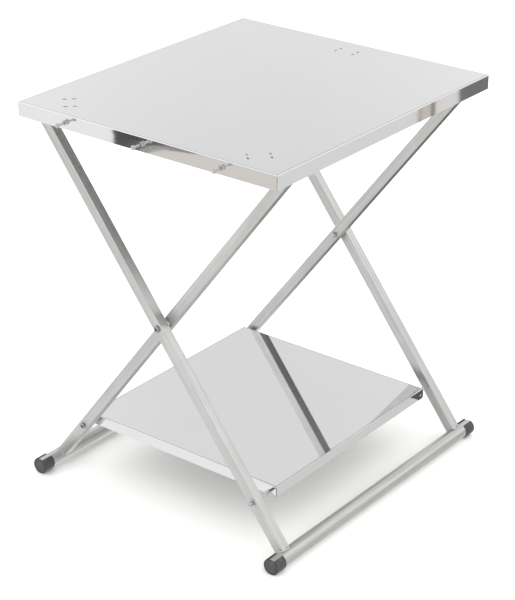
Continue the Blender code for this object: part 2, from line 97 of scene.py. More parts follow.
table_middle = (Vector(cad_box[0]) + Vector(cad_box[1])) / 2
print("the camera stands %.2f m from the table" % (CAMERA_PLACE - table_middle).length)

# %% [markdown]
# Shader patterns are written as plain arithmetic. The class below wraps one socket of a material,
# so that `1 - mask * 0.5` adds the Math nodes for it, and one method adds any other kind of node.


# %% Patterns as arithmetic
class Pattern:
    """One output of a material's nodes that arithmetic works on."""

    def __init__(self, tree, socket=None):
        self.tree = tree
        self.socket = socket

    def node(self, kind, settings=(), inputs=(), output=0):
        """Adds a node: its settings first, then the values or links of its sockets."""
        made = self.tree.nodes.new(kind)
        for name, value in dict(settings).items():
            setattr(made, name, value)
        for name, value in dict(inputs).items():
            self.feed(made.inputs[name], value)
        return Pattern(self.tree, made.outputs[output])

    def feed(self, target, value):
        """Links a pattern to a socket, or sets the socket to a plain value."""
        if isinstance(value, Pattern):
            self.tree.links.new(value.socket, target)
        else:
            target.default_value = value

    def math(self, operation, first, second=0.0):
        return self.node("ShaderNodeMath", {"operation": operation}, {0: first, 1: second})

    def __add__(self, other):
        return self.math("ADD", self, other)

    __radd__ = __add__

    def __sub__(self, other):
        return self.math("SUBTRACT", self, other)

    def __rsub__(self, other):
        return self.math("SUBTRACT", other, self)

    def __mul__(self, other):
        return self.math("MULTIPLY", self, other)

    __rmul__ = __mul__

    def ease(self, low, high):
        """0 below low, 1 above high, and a smooth step between them."""
        return self.node("ShaderNodeMapRange", {"interpolation_type": "SMOOTHSTEP"},
                         {"Value": self, "From Min": low, "From Max": high})

    def mix(self, first, second):
        """A colour that goes from first to second as this pattern goes from 0 to 1."""
        return self.node("ShaderNodeMix", {"data_type": "RGBA"},
                         {0: self, 6: first, 7: second}, output=2)

    def stretch(self, factors):
        """These coordinates, multiplied along each axis."""
        return self.node("ShaderNodeVectorMath", {"operation": "MULTIPLY"}, {0: self, 1: factors})

    def turn(self, angles):
        """These coordinates, turned about each axis."""
        return self.node("ShaderNodeMapping", (), {"Vector": self, "Rotation": angles})

    def along(self, direction):
        """How far these coordinates reach along a direction."""
        return self.node("ShaderNodeVectorMath", {"operation": "DOT_PRODUCT"},
                         {0: self, 1: direction}, output="Value")

    def noise(self, scale, detail=2.0):
        return self.node("ShaderNodeTexNoise", (),
                         {"Vector": self, "Scale": scale, "Detail": detail})


ALONG_X, ALONG_Y, UPWARDS = (1.0, 0.0, 0.0), (0.0, 1.0, 0.0), (0.0, 0.0, 1.0)


def new_finish(name, colour, roughness, metallic):
    """A material with even values, the place on the piece to draw patterns on, and the shader."""
    made = bpy.data.materials.new(name)
    made.use_nodes = True
    made.diffuse_color = (*colour, 1.0)
    shader = made.node_tree.nodes["Principled BSDF"]
    shader.inputs["Base Color"].default_value = (*colour, 1.0)
    shader.inputs["Roughness"].default_value = roughness
    shader.inputs["Metallic"].default_value = metallic
    place = Pattern(made.node_tree).node("ShaderNodeTexCoord", output="Object")
    return made, place, shader


def dress(shader, colour, roughness, relief, strength, depth):
    """Feeds a shader its colour and roughness, and bumps it with a relief of a depth in metres."""
    colour.feed(shader.inputs["Base Color"], colour)
    colour.feed(shader.inputs["Roughness"], roughness)
    bump = relief.node("ShaderNodeBump", (),
                       {"Strength": strength, "Distance": depth, "Height": relief})
    bump.feed(shader.inputs["Normal"], bump)


def grey(value, warmth=0.0):
    """A neutral colour, or with warmth a slightly yellow one."""
    return (value, value * (1.0 - warmth * 0.4), value * (1.0 - warmth), 1.0)


# %% [markdown]
# The table stands on a wide white sweep in a white room. Polished steel shows whatever stands round
# it, so the room matters as much as the metal: the walls are a light grey, with a bright window
# behind and to the right and a soft box in front and to the left. The light that falls on the paper
# is even and strong, so the shadows stay soft and pale.

# %% Floor and room
SOFT_LIGHT = 1.62                       # what lights the paper and the plastics
MIRRORED_ROOM = 0.90                    # what the metal mirrors of the walls
MIRRORED_BOX = 1.28                     # and of the soft box in front and to the left
MIRRORED_CEILING = 0.92                 # and of the ceiling behind the table
TOWARD_GREY_WALL = (-0.609, 0.793, 0.0)     # where things stand in the room
ALONG_GREY_WALL = (0.793, 0.609, 0.0)
TOWARD_WINDOW = (0.643, 0.766, 0.0)
TOWARD_BOX = (-0.60, -0.80, 0.0)

bpy.ops.object.select_all(action="DESELECT")
bpy.ops.mesh.primitive_plane_add(size=60.0, location=(0.0, 0.0, 0.0))
floor = bpy.context.object
floor.name = "floor"
paper, _, paper_shader = new_finish("white_paper", (0.93, 0.926, 0.905), 0.9, 0.0)
paper_shader.inputs["Specular IOR Level"].default_value = 0.0
floor.data.materials.append(paper)

room = bpy.data.worlds.new("white_room")
room.use_nodes = True
room.cycles.sampling_method = "NONE"
bpy.context.scene.world = room
toward = Pattern(room.node_tree).node("ShaderNodeTexCoord", output="Generated")
height = toward.along(UPWARDS)

# The grey wall is a little lighter to both sides, and a little darker higher up.
aside = toward.along(ALONG_GREY_WALL)
darker = height.math("MINIMUM", (height - 0.325) * 0.9, 0.03)
grey_wall = height.math("MINIMUM", 0.87 + aside * aside * 6.0 - darker, 1.05)
at_grey_wall = toward.along(TOWARD_GREY_WALL).ease(0.30, 0.55)

# The window grows brighter from its sill upwards.
window = height.math("MAXIMUM", 1.0 + (height - 0.36) * 5.5, 0.82)
window = height.math("MINIMUM", window, 1.60)
at_window = toward.along(TOWARD_WINDOW).ease(0.62, 0.80)

at_box = toward.along(TOWARD_BOX).ease(0.50, 0.78)
high_behind = height.ease(0.50, 0.64) * toward.along(ALONG_Y).ease(0.35, 0.55)


def shade(mask, first, second):
    """Goes from first to second as the mask goes from 0 to 1."""
    return mask * second + (1.0 - mask) * first


tone = shade(at_box, shade(at_grey_wall, MIRRORED_ROOM, grey_wall), MIRRORED_BOX)
tone = shade(at_window, tone, window)
tone = shade(high_behind, tone, MIRRORED_CEILING)
mirrored = toward.node("ShaderNodeLightPath", output="Is Glossy Ray")
glow = room.node_tree.nodes["Background"]
glow.inputs["Color"].default_value = (0.998, 1.0, 1.005, 1.0)
toward.feed(glow.inputs["Strength"], shade(mirrored, SOFT_LIGHT, tone))
print("lit the room with", len(room.node_tree.nodes), "nodes")

# %% [markdown]
# A studio also has flags and reflectors: cards that only show in the metal. Each card here lies on
# the floor outside the view, glows with its own even tone, and is seen by mirror reflections only.


# %% Cards on the floor
def floor_card(name, corners, tone, far_tone=None, span=(0.0, 1.0), height=0.004):
    """A flat card through the corners (x, y). With a far tone it shades along X over the span."""
    mesh = bpy.data.meshes.new(name)
    mesh.from_pydata([(x, y, height) for x, y in corners], [], [tuple(range(len(corners)))])
    card = bpy.data.objects.new(name, mesh)
    bpy.context.scene.collection.objects.link(card)
    made = bpy.data.materials.new(name)
    made.use_nodes = True
    made.node_tree.nodes.clear()
    pattern = Pattern(made.node_tree)
    glow = pattern.node("ShaderNodeEmission", (), {"Color": tone})
    if far_tone:
        place = pattern.node("ShaderNodeTexCoord", output="Object").along(ALONG_X)
        shaded = place.ease(*span).mix(tone, far_tone)
        pattern.feed(glow.socket.node.inputs["Color"], shaded)
    end = made.node_tree.nodes.new("ShaderNodeOutputMaterial")
    pattern.feed(end.inputs["Surface"], glow)
    mesh.materials.append(made)
    for ray in ("camera", "diffuse", "shadow", "transmission"):
        setattr(card, "visible_" + ray, False)
    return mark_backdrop(card)


def rectangle(low_x, low_y, high_x, high_y):
    return [(low_x, low_y), (high_x, low_y), (high_x, high_y), (low_x, high_y)]


STRIP_NEAR, STRIP_FAR = 1.24, 1.42      # the strips on the right lie between these, along X
STRIP_ZERO, STRIP_SLOPE = 1.299, 1.56   # and their ends slant by this much, from this X


def slanted_strip(start, end):
    """Corners of a strip on the right whose ends run along the view of the right edge."""
    near = (STRIP_NEAR - STRIP_ZERO) * STRIP_SLOPE
    far = (STRIP_FAR - STRIP_ZERO) * STRIP_SLOPE
    return [(STRIP_NEAR, start + near), (STRIP_FAR, start + far),
            (STRIP_FAR, end + far), (STRIP_NEAR, end + near)]


floor_card("mirrored_floor", rectangle(-9.0, -9.0, 9.0, 9.0), grey(0.99), height=0.001)
floor_card("shade_below", rectangle(-0.24, -0.30, 0.24, 0.30), grey(0.60), height=0.002)
floor_card("shade_right", rectangle(0.26, -0.55, 0.52, 0.75), grey(0.74, 0.03), height=0.003)
floor_card("shade_front", [(-0.40, -0.30), (-0.46, -0.56), (-1.22, -1.20), (-1.60, -1.50),
                           (-1.75, -1.38), (-0.85, -0.62), (-0.52, -0.30)],
           grey(0.58), height=0.003)
floor_card("warm_card", rectangle(-1.20, -2.00, -0.40, -1.52), (0.76, 0.73, 0.695, 1.0))
floor_card("dark_flag", [(-1.24, -1.58), (-1.43, -1.795), (-1.08, -1.795), (-1.133, -1.708),
                         (-1.150, -1.678), (-1.165, -1.648), (-1.175, -1.58)],
           grey(0.085), grey(0.20), span=(-1.30, -1.17))
STRIPS = [("right_card", 0.85, 1.698, grey(0.80)), ("right_gap", 1.698, 1.711, grey(0.25)),
          ("beige_strip", 1.711, 1.759, grey(0.66, 0.16)),
          ("brown_strip", 1.759, 1.781, grey(0.28, 0.30)),
          ("pale_strip", 1.781, 1.903, grey(0.82, 0.04)), ("right_flag", 1.903, 2.20, grey(0.20))]
for name, start, end, strip_tone in STRIPS:
    floor_card(name, slanted_strip(start, end), strip_tone)
floor_card("low_flag", rectangle(-0.15, 0.36, 0.95, 1.45), grey(0.11))

# %% [markdown]
# ** Polished steel.** Both trays are bright stainless sheet. Up close such a sheet shows a faint
# grain from rolling, soft smudges from hands, and a few hairline scratches. The underside isn't
# polished: it keeps the dull, greyer mill surface, so the finish asks which way a face looks. A
# fine dark line is painted on the top where each fold begins: a painted dark reflection beside the
# fold's highlight. The folded corners meet in a dark seam. Both follow the tray's outline, so the
# finish is told where the tray's edges are.

# %% Polished steel
# The painted dark line along each fold lies this far in from the tray's outside, with this width and
# blur.
FOLD_IN = 0.0026                # from the tray's outside in to the line along its fold
PAINTED_FOLD_WIDTH = 0.0009
PAINTED_FOLD_BLUR = 0.0003
# How dark the painted fold line (a painted dark reflection) and the corner seam are, and the colour
# they darken towards.
PAINTED_FOLD_DARKNESS, SEAM_DARKNESS = 0.50, 0.88
FOLD_SHADE_AND_SEAM_COLOUR = (0.035, 0.035, 0.038, 1.0)
MILL_COLOUR = (0.60, 0.602, 0.60, 1.0)


def band(distance, start, width, blur):
    """1 where a distance lies between start and start + width."""
    end = start + width
    return distance.ease(start - blur, start) * (1.0 - distance.ease(end, end + blur))


def polished_steel(name, node):
    low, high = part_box(node)
    middle, half = (low + high) / 2, (high - low) / 2
    made, place, shader = new_finish(name, (0.80, 0.80, 0.80), 0.04, 1.0)
    facing_up = place.node("ShaderNodeTexCoord", output="Normal").along(UPWARDS)
    under = (0.0 - facing_up).ease(0.5, 0.9)
    above = facing_up.ease(0.90, 0.97)
    out_x = place.math("ABSOLUTE", place.along(ALONG_X) - middle.x)
    out_y = place.math("ABSOLUTE", place.along(ALONG_Y) - middle.y)
    # A painted dark reflection: a thin dark line on the top face just inside each fold.
    painted_fold_line = place.math("MAXIMUM", band(out_x, half.x - FOLD_IN, PAINTED_FOLD_WIDTH, PAINTED_FOLD_BLUR),
                      band(out_y, half.y - FOLD_IN, PAINTED_FOLD_WIDTH, PAINTED_FOLD_BLUR))
    below_fold = 1.0 - place.along(UPWARDS).ease(high.z - FOLD_IN, high.z - 0.0020)
    seam = out_x.ease(half.x - 0.0010, half.x - 0.0006)
    seam = seam * out_y.ease(half.y - 0.0010, half.y - 0.0006)
    # The painted fold line and the dark corner seam, in one mask.
    fold_shade_and_seam = place.math("MAXIMUM", painted_fold_line * above * PAINTED_FOLD_DARKNESS, seam * below_fold * SEAM_DARKNESS)
    rolled = place.stretch((40.0, 1600.0, 1600.0)).noise(1.0, 3.0)
    smudge = place.noise(7.0, 4.0).ease(0.45, 0.75)
    scratch = place.turn((0.0, 0.0, 0.5)).stretch((9.0, 700.0, 9.0)).noise(1.0, 1.0)
    scratch = scratch.ease(0.76, 0.80)
    sheen = (rolled * 0.55 + smudge * 0.45).mix((0.790, 0.792, 0.796, 1.0),
                                                (0.815, 0.816, 0.820, 1.0))
    roughness = 0.026 + rolled * 0.012 + smudge * 0.018 + scratch * 0.04
    dress(shader, fold_shade_and_seam.mix(under.mix(sheen, MILL_COLOUR), FOLD_SHADE_AND_SEAM_COLOUR),
          roughness + under * 0.30 + fold_shade_and_seam * 0.2, rolled * 0.5 + scratch * 0.6, 0.04, 0.00002)
    return made


# %% [markdown]
# **Satin aluminium.** The tubes are extruded and anodised: a soft silvery sheen with faint lines
# along each tube and a very fine grain. The lines follow the tube, so each leg direction has its
# own copy of the finish, with the coordinates turned until the tube runs along Z.

# %% Satin aluminium
HALF_SPREAD = 0.265             # from the crossing to a foot bar, along the floor
CROSSING_HEIGHT = 0.361
BAR_HEIGHT = 0.015
LEG_LEAN = math.atan2(HALF_SPREAD, CROSSING_HEIGHT - BAR_HEIGHT)    # the lean from upright


def satin_aluminium(name, tube_turn):
    made, place, shader = new_finish(name, (0.60, 0.603, 0.592), 0.35, 1.0)
    tube = place.turn(tube_turn)
    lines = tube.stretch((620.0, 620.0, 7.0)).noise(1.0, 3.0)
    grain = place.noise(2400.0, 2.0)
    cloud = place.noise(18.0, 3.0)
    worn = tube.stretch((60.0, 60.0, 25.0)).noise(1.0, 4.0).ease(0.60, 0.72)
    streaks = tube.stretch((330.0, 330.0, 3.0)).noise(1.0, 2.0)
    tone = lines * 0.40 + streaks * 0.30 + cloud * 0.15 + grain * 0.15
    colour = tone.ease(0.36, 0.64).mix((0.515, 0.52, 0.505, 1.0), (0.665, 0.67, 0.655, 1.0))
    dress(shader, (worn * 0.35).mix(colour, (0.68, 0.68, 0.67, 1.0)),
          0.31 + lines * 0.06 + grain * 0.05 - worn * 0.03, lines * 0.6 + grain * 0.4,
          0.30, 0.00004)
    return made


# %% [markdown]
# ** Plated fittings.** Chrome on the pegs and cap nuts is nearly a mirror with a light haze. The
# bolts take a much darker copy of the chrome, a painted shade over the whole bolt. Zinc on the
# rods and nuts is bluish and a little mottled. The rails under the top are galvanised, and their
# zinc has frozen in flat crystals, each a slightly different grey.


# %% Plated fittings
def chrome():
    made, place, shader = new_finish("chrome", (0.53, 0.535, 0.54), 0.07, 1.0)
    haze = place.noise(160.0, 3.0)
    fine = place.noise(1500.0, 2.0)
    dress(shader, haze.mix((0.46, 0.465, 0.47, 1.0), (0.60, 0.605, 0.61, 1.0)),
          0.045 + haze.ease(0.45, 0.7) * 0.07 + fine * 0.02, fine, 0.05, 0.00002)
    return made


# Painted shade: the bolts get a much darker copy of the chrome.
def shaded_bolt_chrome():
    made, place, shader = new_finish("shaded_bolt_chrome", (0.30, 0.305, 0.315), 0.22, 1.0)
    stain = place.noise(420.0, 3.0)
    fine = place.noise(2200.0, 2.0)
    dress(shader, stain.ease(0.3, 0.7).mix((0.22, 0.225, 0.235, 1.0), (0.38, 0.385, 0.395, 1.0)),
          0.16 + stain * 0.12 + fine * 0.04, fine, 0.12, 0.00003)
    return made


def zinc():
    made, place, shader = new_finish("zinc", (0.60, 0.66, 0.70), 0.26, 1.0)
    mottle = place.noise(260.0, 3.0)
    fine = place.noise(2200.0, 2.0)
    dress(shader, mottle.ease(0.3, 0.7).mix((0.53, 0.60, 0.65, 1.0), (0.66, 0.70, 0.70, 1.0)),
          0.20 + mottle * 0.10 + fine * 0.04, fine, 0.15, 0.00004)
    return made


def galvanised_steel():
    made, place, shader = new_finish("galvanised_steel", (0.55, 0.56, 0.57), 0.40, 1.0)
    crystal = place.node("ShaderNodeTexVoronoi", (), {"Vector": place, "Scale": 210.0},
                         output="Color")
    flake = crystal.along((0.34, 0.33, 0.33))
    frost = place.noise(900.0, 3.0)
    dress(shader, flake.mix((0.46, 0.475, 0.49, 1.0), (0.62, 0.63, 0.635, 1.0)),
          0.30 + flake * 0.16 + frost * 0.06, flake * 0.5 + frost * 0.5, 0.2, 0.00006)
    return made


# %% [markdown]
# **Plastics.** The foot caps and leg plugs are moulded in black plastic with a fine leathery grain,
# paler where the floor has rubbed it. The spacers and bushes are natural nylon, milky and waxy.


# %% Plastics
def black_plastic():
    made, place, shader = new_finish("black_plastic", (0.045, 0.045, 0.047), 0.50, 0.0)
    pebble = place.node("ShaderNodeTexVoronoi", {"feature": "SMOOTH_F1"},
                        {"Vector": place, "Scale": 1500.0}, output="Distance")
    rub = place.noise(90.0, 4.0).ease(0.55, 0.75)
    dress(shader, (pebble * 0.4 + rub * 0.6).mix((0.036, 0.036, 0.038, 1.0),
                                                 (0.095, 0.093, 0.092, 1.0)),
          0.40 + pebble * 0.12 + rub * 0.12, pebble, 0.35, 0.00010)
    return made


def white_nylon():
    made, place, shader = new_finish("white_nylon", (0.80, 0.80, 0.77), 0.45, 0.0)
    shader.inputs["Subsurface Weight"].default_value = 0.25
    shader.inputs["Subsurface Radius"].default_value = (0.002, 0.002, 0.0018)
    shader.inputs["Subsurface Scale"].default_value = 1.0
    wax = place.noise(220.0, 3.0)
    fine = place.noise(1800.0, 2.0)
    dress(shader, wax.mix((0.76, 0.76, 0.72, 1.0), (0.84, 0.84, 0.815, 1.0)),
          0.38 + wax * 0.12 + fine * 0.04, fine, 0.15, 0.00005)
    return made


# %% [markdown]
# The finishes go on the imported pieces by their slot. A tube's direction picks its aluminium. The
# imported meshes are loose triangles, so each gets a weld and an edge split, which let the folds and
# tubes shade smoothly while corners stay crisp, and weighted normals, which keep flat sheet flat.

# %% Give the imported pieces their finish
WELD_REACH = 0.000002           # corners closer than this are one corner
CORNER_ANGLE = 32               # degrees; a sharper edge stays crisp
FLAT_WEIGHT = 100               # of 1 to 100: the large faces decide how a corner is shaded

finishes = {
    "tabletop_tray": polished_steel("polished_steel_top", "tabletop_tray"),
    "shelf_tray": polished_steel("polished_steel_shelf", "shelf_tray"),
    "chrome": chrome(),
    "zinc": zinc(),
    "shaded_bolt_chrome": shaded_bolt_chrome(),
    "galvanised_steel": galvanised_steel(),
    "black_plastic": black_plastic(),
    "white_nylon": white_nylon(),
}
satin_tubes = {
    "outer": satin_aluminium("satin_aluminium_outer", (0.0, LEG_LEAN, 0.0)),
    "inner": satin_aluminium("satin_aluminium_inner", (0.0, -LEG_LEAN, 0.0)),
    "level": satin_aluminium("satin_aluminium_level", (math.pi / 2, 0.0, 0.0)),
}


def satin_for(node_name):
    for word in ("outer", "inner"):
        if node_name.startswith(word + "_leg"):
            return satin_tubes[word]
    return satin_tubes["level"]


def select_only(piece):
    bpy.ops.object.select_all(action="DESELECT")
    piece.select_set(True)
    bpy.context.view_layer.objects.active = piece


for part in frame["record"]["subparts"]:
    node = frame["nodes"][part["node"]]
    finish = finishes.get(part["node"]) or finishes.get(part["material_slot"])
    node.data.materials.clear()
    node.data.materials.append(finish or satin_for(part["node"]))
    select_only(node)
    if node.data.has_custom_normals:
        bpy.ops.mesh.customdata_custom_splitnormals_clear()
    for face in node.data.polygons:
        face.use_smooth = True
    node.modifiers.new("weld", "WELD").merge_threshold = WELD_REACH
    node.modifiers.new("corners", "EDGE_SPLIT").split_angle = math.radians(CORNER_ANGLE)
    even = node.modifiers.new("flat_faces", "WEIGHTED_NORMAL")
    even.weight = FLAT_WEIGHT
    even.keep_sharp = True

# %% [markdown]
# ## The small pieces
# Caps, pegs, bolts and nuts are all turned or moulded round an axis. Each starts as a disc of its
# first radius. The disc is extruded ring by ring, moved up and resized, as on a lathe drawing read
# from one end to the other, and the finished solid is then laid down along Y at its place.

# %% Turned pieces
SMALL_SIDES = 32                # of a bore, a stud or a dome


def turn_up(name, rings, sides=SMALL_SIDES):
    """A closed solid along +Z through the rings, each given as (radius, height)."""
    bpy.ops.object.select_all(action="DESELECT")
    radius, height = rings[0]
    bpy.ops.mesh.primitive_circle_add(vertices=sides, radius=radius, fill_type="NGON",
                                      location=(0.0, 0.0, height))
    piece = bpy.context.object
    piece.name = name
    bpy.ops.object.transform_apply(location=True, rotation=True, scale=True)
    bpy.ops.object.mode_set(mode="EDIT")
    bpy.ops.mesh.select_all(action="SELECT")
    for next_radius, next_height in rings[1:]:
        bpy.ops.mesh.extrude_region_move(
            TRANSFORM_OT_translate={"value": (0.0, 0.0, next_height - height)})
        factor = next_radius / radius
        bpy.ops.transform.resize(value=(factor, factor, 1.0),
                                 center_override=(0.0, 0.0, next_height))
        radius, height = next_radius, next_height
    bpy.ops.mesh.select_all(action="SELECT")
    bpy.ops.mesh.normals_make_consistent(inside=False)
    bpy.ops.object.mode_set(mode="OBJECT")
    return piece


def join_shape(piece, tool, operation):
    """Cuts the tool out of the piece, or joins it on, and throws the tool away."""
    select_only(piece)
    step = piece.modifiers.new("shape", "BOOLEAN")
    step.operation = operation
    step.solver = "EXACT"
    step.object = tool
    bpy.ops.object.modifier_apply(modifier=step.name)
    bpy.data.objects.remove(tool, do_unlink=True)
    return piece


def drill(piece, radius, start, end):
    """Bores a round hole along Z between two heights."""
    return join_shape(piece, turn_up("bore", [(radius, start), (radius, end)]), "DIFFERENCE")


def six_sided(radius, depth, middle_height):
    """A six-sided prism along Z, its radius measured to the corners."""
    bpy.ops.object.select_all(action="DESELECT")
    bpy.ops.mesh.primitive_cylinder_add(vertices=6, radius=radius, depth=depth,
                                        location=(0.0, 0.0, middle_height))
    prism = bpy.context.object
    bpy.ops.object.transform_apply(location=True, rotation=True, scale=True)
    return prism


def centre(node):
    low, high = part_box(node)
    return (low + high) / 2


def lay_down(piece, place, facing):
    """Turns a piece made along +Z to point along +Y (1) or -Y (-1), at its place."""
    select_only(piece)
    piece.rotation_euler = (-facing * math.pi / 2, 0.0, 0.0)
    piece.location = place
    bpy.ops.object.transform_apply(location=True, rotation=True, scale=True)
    return piece


def lay_on(piece, node, facing):
    """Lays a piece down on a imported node's axis, with its height 0 where the node begins."""
    low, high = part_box(node)
    begin = low.y if facing > 0 else high.y
    return lay_down(piece, (centre(node).x, begin, centre(node).z), facing)


# %% [markdown]
# A finished piece rides on its body and stands for its imported node. The table is the same
# front and back, so a piece is copied to the rear by half a turn about an upright line.

# %% Finishing and copying
MIDDLE_Y = sum(corner.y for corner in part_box("shelf_tray")) / 2


def triangles(piece):
    return sum(len(face.vertices) - 2 for face in piece.data.polygons)


def finish_piece(piece, body, finish, smooth_angle, nodes=()):
    """Gives a piece its finish and its smooth faces, puts it on its body, and hides the nodes it
    replaces.
    """
    select_only(piece)
    piece.data.materials.clear()
    piece.data.materials.append(finish)
    bpy.ops.object.shade_smooth_by_angle(angle=math.radians(smooth_angle))
    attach(piece, body)
    if nodes:
        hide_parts(*nodes)
    print("made", piece.name, "with", triangles(piece), "triangles")


def copy_piece(piece, name, place_change):
    made = piece.copy()
    made.data = piece.data.copy()
    made.name = name
    made.data.transform(place_change)
    bpy.context.scene.collection.objects.link(made)
    return made


def half_turn(x):
    """Half a turn about the upright line through x, midway between front and rear."""
    to_line = Matrix.Translation((x, MIDDLE_Y, 0.0))
    return to_line @ Matrix.Rotation(math.pi, 4, "Z") @ to_line.inverted()


def finish_pair(front, line_x, kind, body, finish, smooth_angle):
    """Copies a front piece to the rear, and finishes both in place of the nodes of their kind."""
    rear = copy_piece(front, front.name.replace("_front", "_rear"), half_turn(line_x))
    for piece, end in ((front, "front"), (rear, "rear")):
        finish_piece(piece, body, finish, smooth_angle, [kind + "_" + end])


# %% [markdown]
# **Foot caps.** Each foot bar ends in a plastic cap: a sleeve that clips over the tube, closed by a
# disc. The disc has a fine raised rim inside a groove. The sleeve is open along the top, where the
# bare tube shows. The disc, groove, sleeve and bore are one row of rings, and a block then cuts the
# open slot.

# %% Foot caps
CAP_RADIUS = 0.0150
CAP_BORE = 0.0135
CAP_LENGTH = 0.0250
CAP_SLOT = 0.0132
CAP_RINGS = [(0.0060, 0.0003), (0.0112, 0.0003), (0.0115, 0.0000), (0.0123, 0.0000),
             (0.0126, 0.0004), (0.0126, 0.0009), (0.0134, 0.0009), (0.0136, 0.0004),
             (0.0141, 0.0002), (0.0146, 0.0005), (0.0149, 0.0010), (CAP_RADIUS, 0.0016),
             (CAP_RADIUS, 0.0236), (0.0148, 0.0244), (0.0143, CAP_LENGTH),
             (0.0139, CAP_LENGTH), (CAP_BORE, 0.0246), (CAP_BORE, 0.0022), (0.0060, 0.0022)]
CAP_SIDES = 72


def foot_cap(name, node, bar):
    cap = turn_up(name, CAP_RINGS, CAP_SIDES)
    bpy.ops.object.select_all(action="DESELECT")
    bpy.ops.mesh.primitive_cube_add(size=1.0, location=(0.0, -0.0181, 0.013),
                                    scale=(CAP_SLOT, 0.012, 0.03))
    slot = bpy.context.object
    bpy.ops.object.transform_apply(location=True, rotation=True, scale=True)
    join_shape(cap, slot, "DIFFERENCE")
    return lay_down(cap, (centre(bar).x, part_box(node)[0].y, centre(bar).z), 1)


for word, body in (("right", "outer_frame"), ("left", "inner_frame")):
    kind, bar = "foot_cap_" + word, "foot_bar_" + word
    cap = foot_cap("cap_%s_front" % word, kind + "_front", bar)
    finish_pair(cap, centre(bar).x, kind, body, finishes["black_plastic"], 30)

# %% [markdown]
# **Bolts.** The crossing bolts and the shelf's rest bolts have low domed heads with a hexagon
# socket. A small flat ring round the socket catches the light. The shank is part of the same row of
# rings, with a chamfered end, and the socket is a six-sided prism cut into the top.

# %% Domed bolts
SHANK_RADIUS = 0.0030
TIP_RADIUS = 0.0024
TIP_CHAMFER = 0.0005
HEAD_DEGREES = (0, 12, 24, 36, 48, 58)
BOLT_SIDES = 36
TO_CORNERS = 0.577              # a hexagon's corner radius, for a width across flats of 1


def domed_bolt(name, node, head, rise, socket):
    """A bolt whose head points forwards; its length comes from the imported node."""
    low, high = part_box(node)
    length = high.y - low.y - rise
    dome = [(head * math.cos(angle), rise * 0.25 + rise * 0.75 * math.sin(angle))
            for angle in map(math.radians, HEAD_DEGREES)]
    rings = [(TIP_RADIUS, -length), (SHANK_RADIUS, TIP_CHAMFER - length), (SHANK_RADIUS, 0.0),
             (head * 0.94, 0.0), (head, rise * 0.07)]
    rings += dome + [(socket * 0.72, rise), (socket * 0.66, rise)]
    bolt = turn_up(name, rings, BOLT_SIDES)
    join_shape(bolt, six_sided(socket * TO_CORNERS, rise * 1.2, rise * 0.95), "DIFFERENCE")
    return lay_down(bolt, (centre(node).x, low.y + rise, centre(node).z), -1)


for kind, body, head, rise, socket in (
        ("pivot_bolt", "outer_frame", 0.0062, 0.0034, 0.0040),
        ("shelf_rest_bolt", "inner_frame", 0.0052, 0.0032, 0.0033)):
    bolt = domed_bolt("domed_" + kind + "_front", kind + "_front", head, rise, socket)
    finish_pair(bolt, centre(kind + "_front").x, kind, body, finishes["shaded_bolt_chrome"], 30)

# %% [markdown]
# **Nuts.** A hexagon nut is a six-sided prism whose corners are turned off at both faces. Here the
# prism is kept only where it overlaps a turned, chamfered disc, which gives the curved bevels of a
# real nut. A cap nut has a dome on top, and a locknut a round nylon collar.

# %% Nuts
NUT_SIDES = 48
DOME_DEGREES = (0, 15, 30, 45, 60, 74, 86)
SMOOTH_NUT = 25


def hexagon(name, flats, height, rings_above=(), bore=0.0):
    """A nut along +Z from height 0, with turned corners and a shape of rings on top."""
    reach = flats / math.sqrt(3.0)
    disc = turn_up(name, [(reach * 0.86, 0.0), (reach * 1.02, height * 0.16),
                          (reach * 1.02, height * 0.84), (reach * 0.86, height)], NUT_SIDES)
    nut = join_shape(disc, six_sided(reach, height * 1.4, height / 2), "INTERSECT")
    if rings_above:
        join_shape(nut, turn_up(name + "_top", rings_above), "UNION")
    if bore:
        drill(nut, bore, -0.002, height + 0.001)
    return nut


def cap_nut(name, node, facing, flats, base, dome, bore):
    """A blind nut: hexagon base, round dome."""
    low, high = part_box(node)
    rise = high.y - low.y - base
    rings = [(dome, base * 0.7)] + [(dome * math.cos(angle), base + rise * math.sin(angle))
                                    for angle in map(math.radians, DOME_DEGREES)]
    return lay_on(hexagon(name, flats, base, rings, bore), node, facing)


for word, kind, facing, flats, base, dome, bore in (
        ("pivot", "pivot_nut", 1, 0.0100, 0.0030, 0.0046, 0.0033),
        ("rod", "shelf_rod_dome_nut", -1, 0.0088, 0.0026, 0.0041, 0.0029)):
    nut = cap_nut("cap_nut_%s_front" % word, kind + "_front", facing, flats, base, dome, bore)
    finish_pair(nut, centre(kind + "_front").x, kind, "outer_frame",
                finishes["chrome"], SMOOTH_NUT)


def locknut(name, node, flats, bore):
    low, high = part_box(node)
    height = high.y - low.y
    collar = [(flats * 0.44, height * 0.5), (flats * 0.44, height * 0.90), (flats * 0.38, height)]
    nut = hexagon(name, flats, height * 0.72, collar)
    return lay_on(drill(nut, bore, -0.001, height + 0.001), node, 1)


for kind, body, flats, bore in (("shelf_rod_locknut", "outer_frame", 0.0080, 0.0029),
                                ("shelf_rest_nut", "inner_frame", 0.0100, 0.0033),
                                ("tray_hinge_nut", "outer_frame", 0.0100, 0.0033)):
    nut = locknut(kind + "_turned_front", kind + "_front", flats, bore)
    finish_pair(nut, centre(kind + "_front").x, kind, body, finishes["zinc"], SMOOTH_NUT)

# %% [markdown]
# **Pegs.** Three pegs for cooking tools stand out from the front edge: a thin stud with a ball end,
# screwed through a hexagon collar. The stud is one row of rings from its thread to its ball.

# %% Pegs
STUD_RADIUS = 0.0020
NECK_RADIUS = STUD_RADIUS * 0.9
BALL_RADIUS = 0.0040
BALL_STEPS = 12
COLLAR_FLATS = 0.0085
COLLAR_BORE = STUD_RADIUS + 0.0003


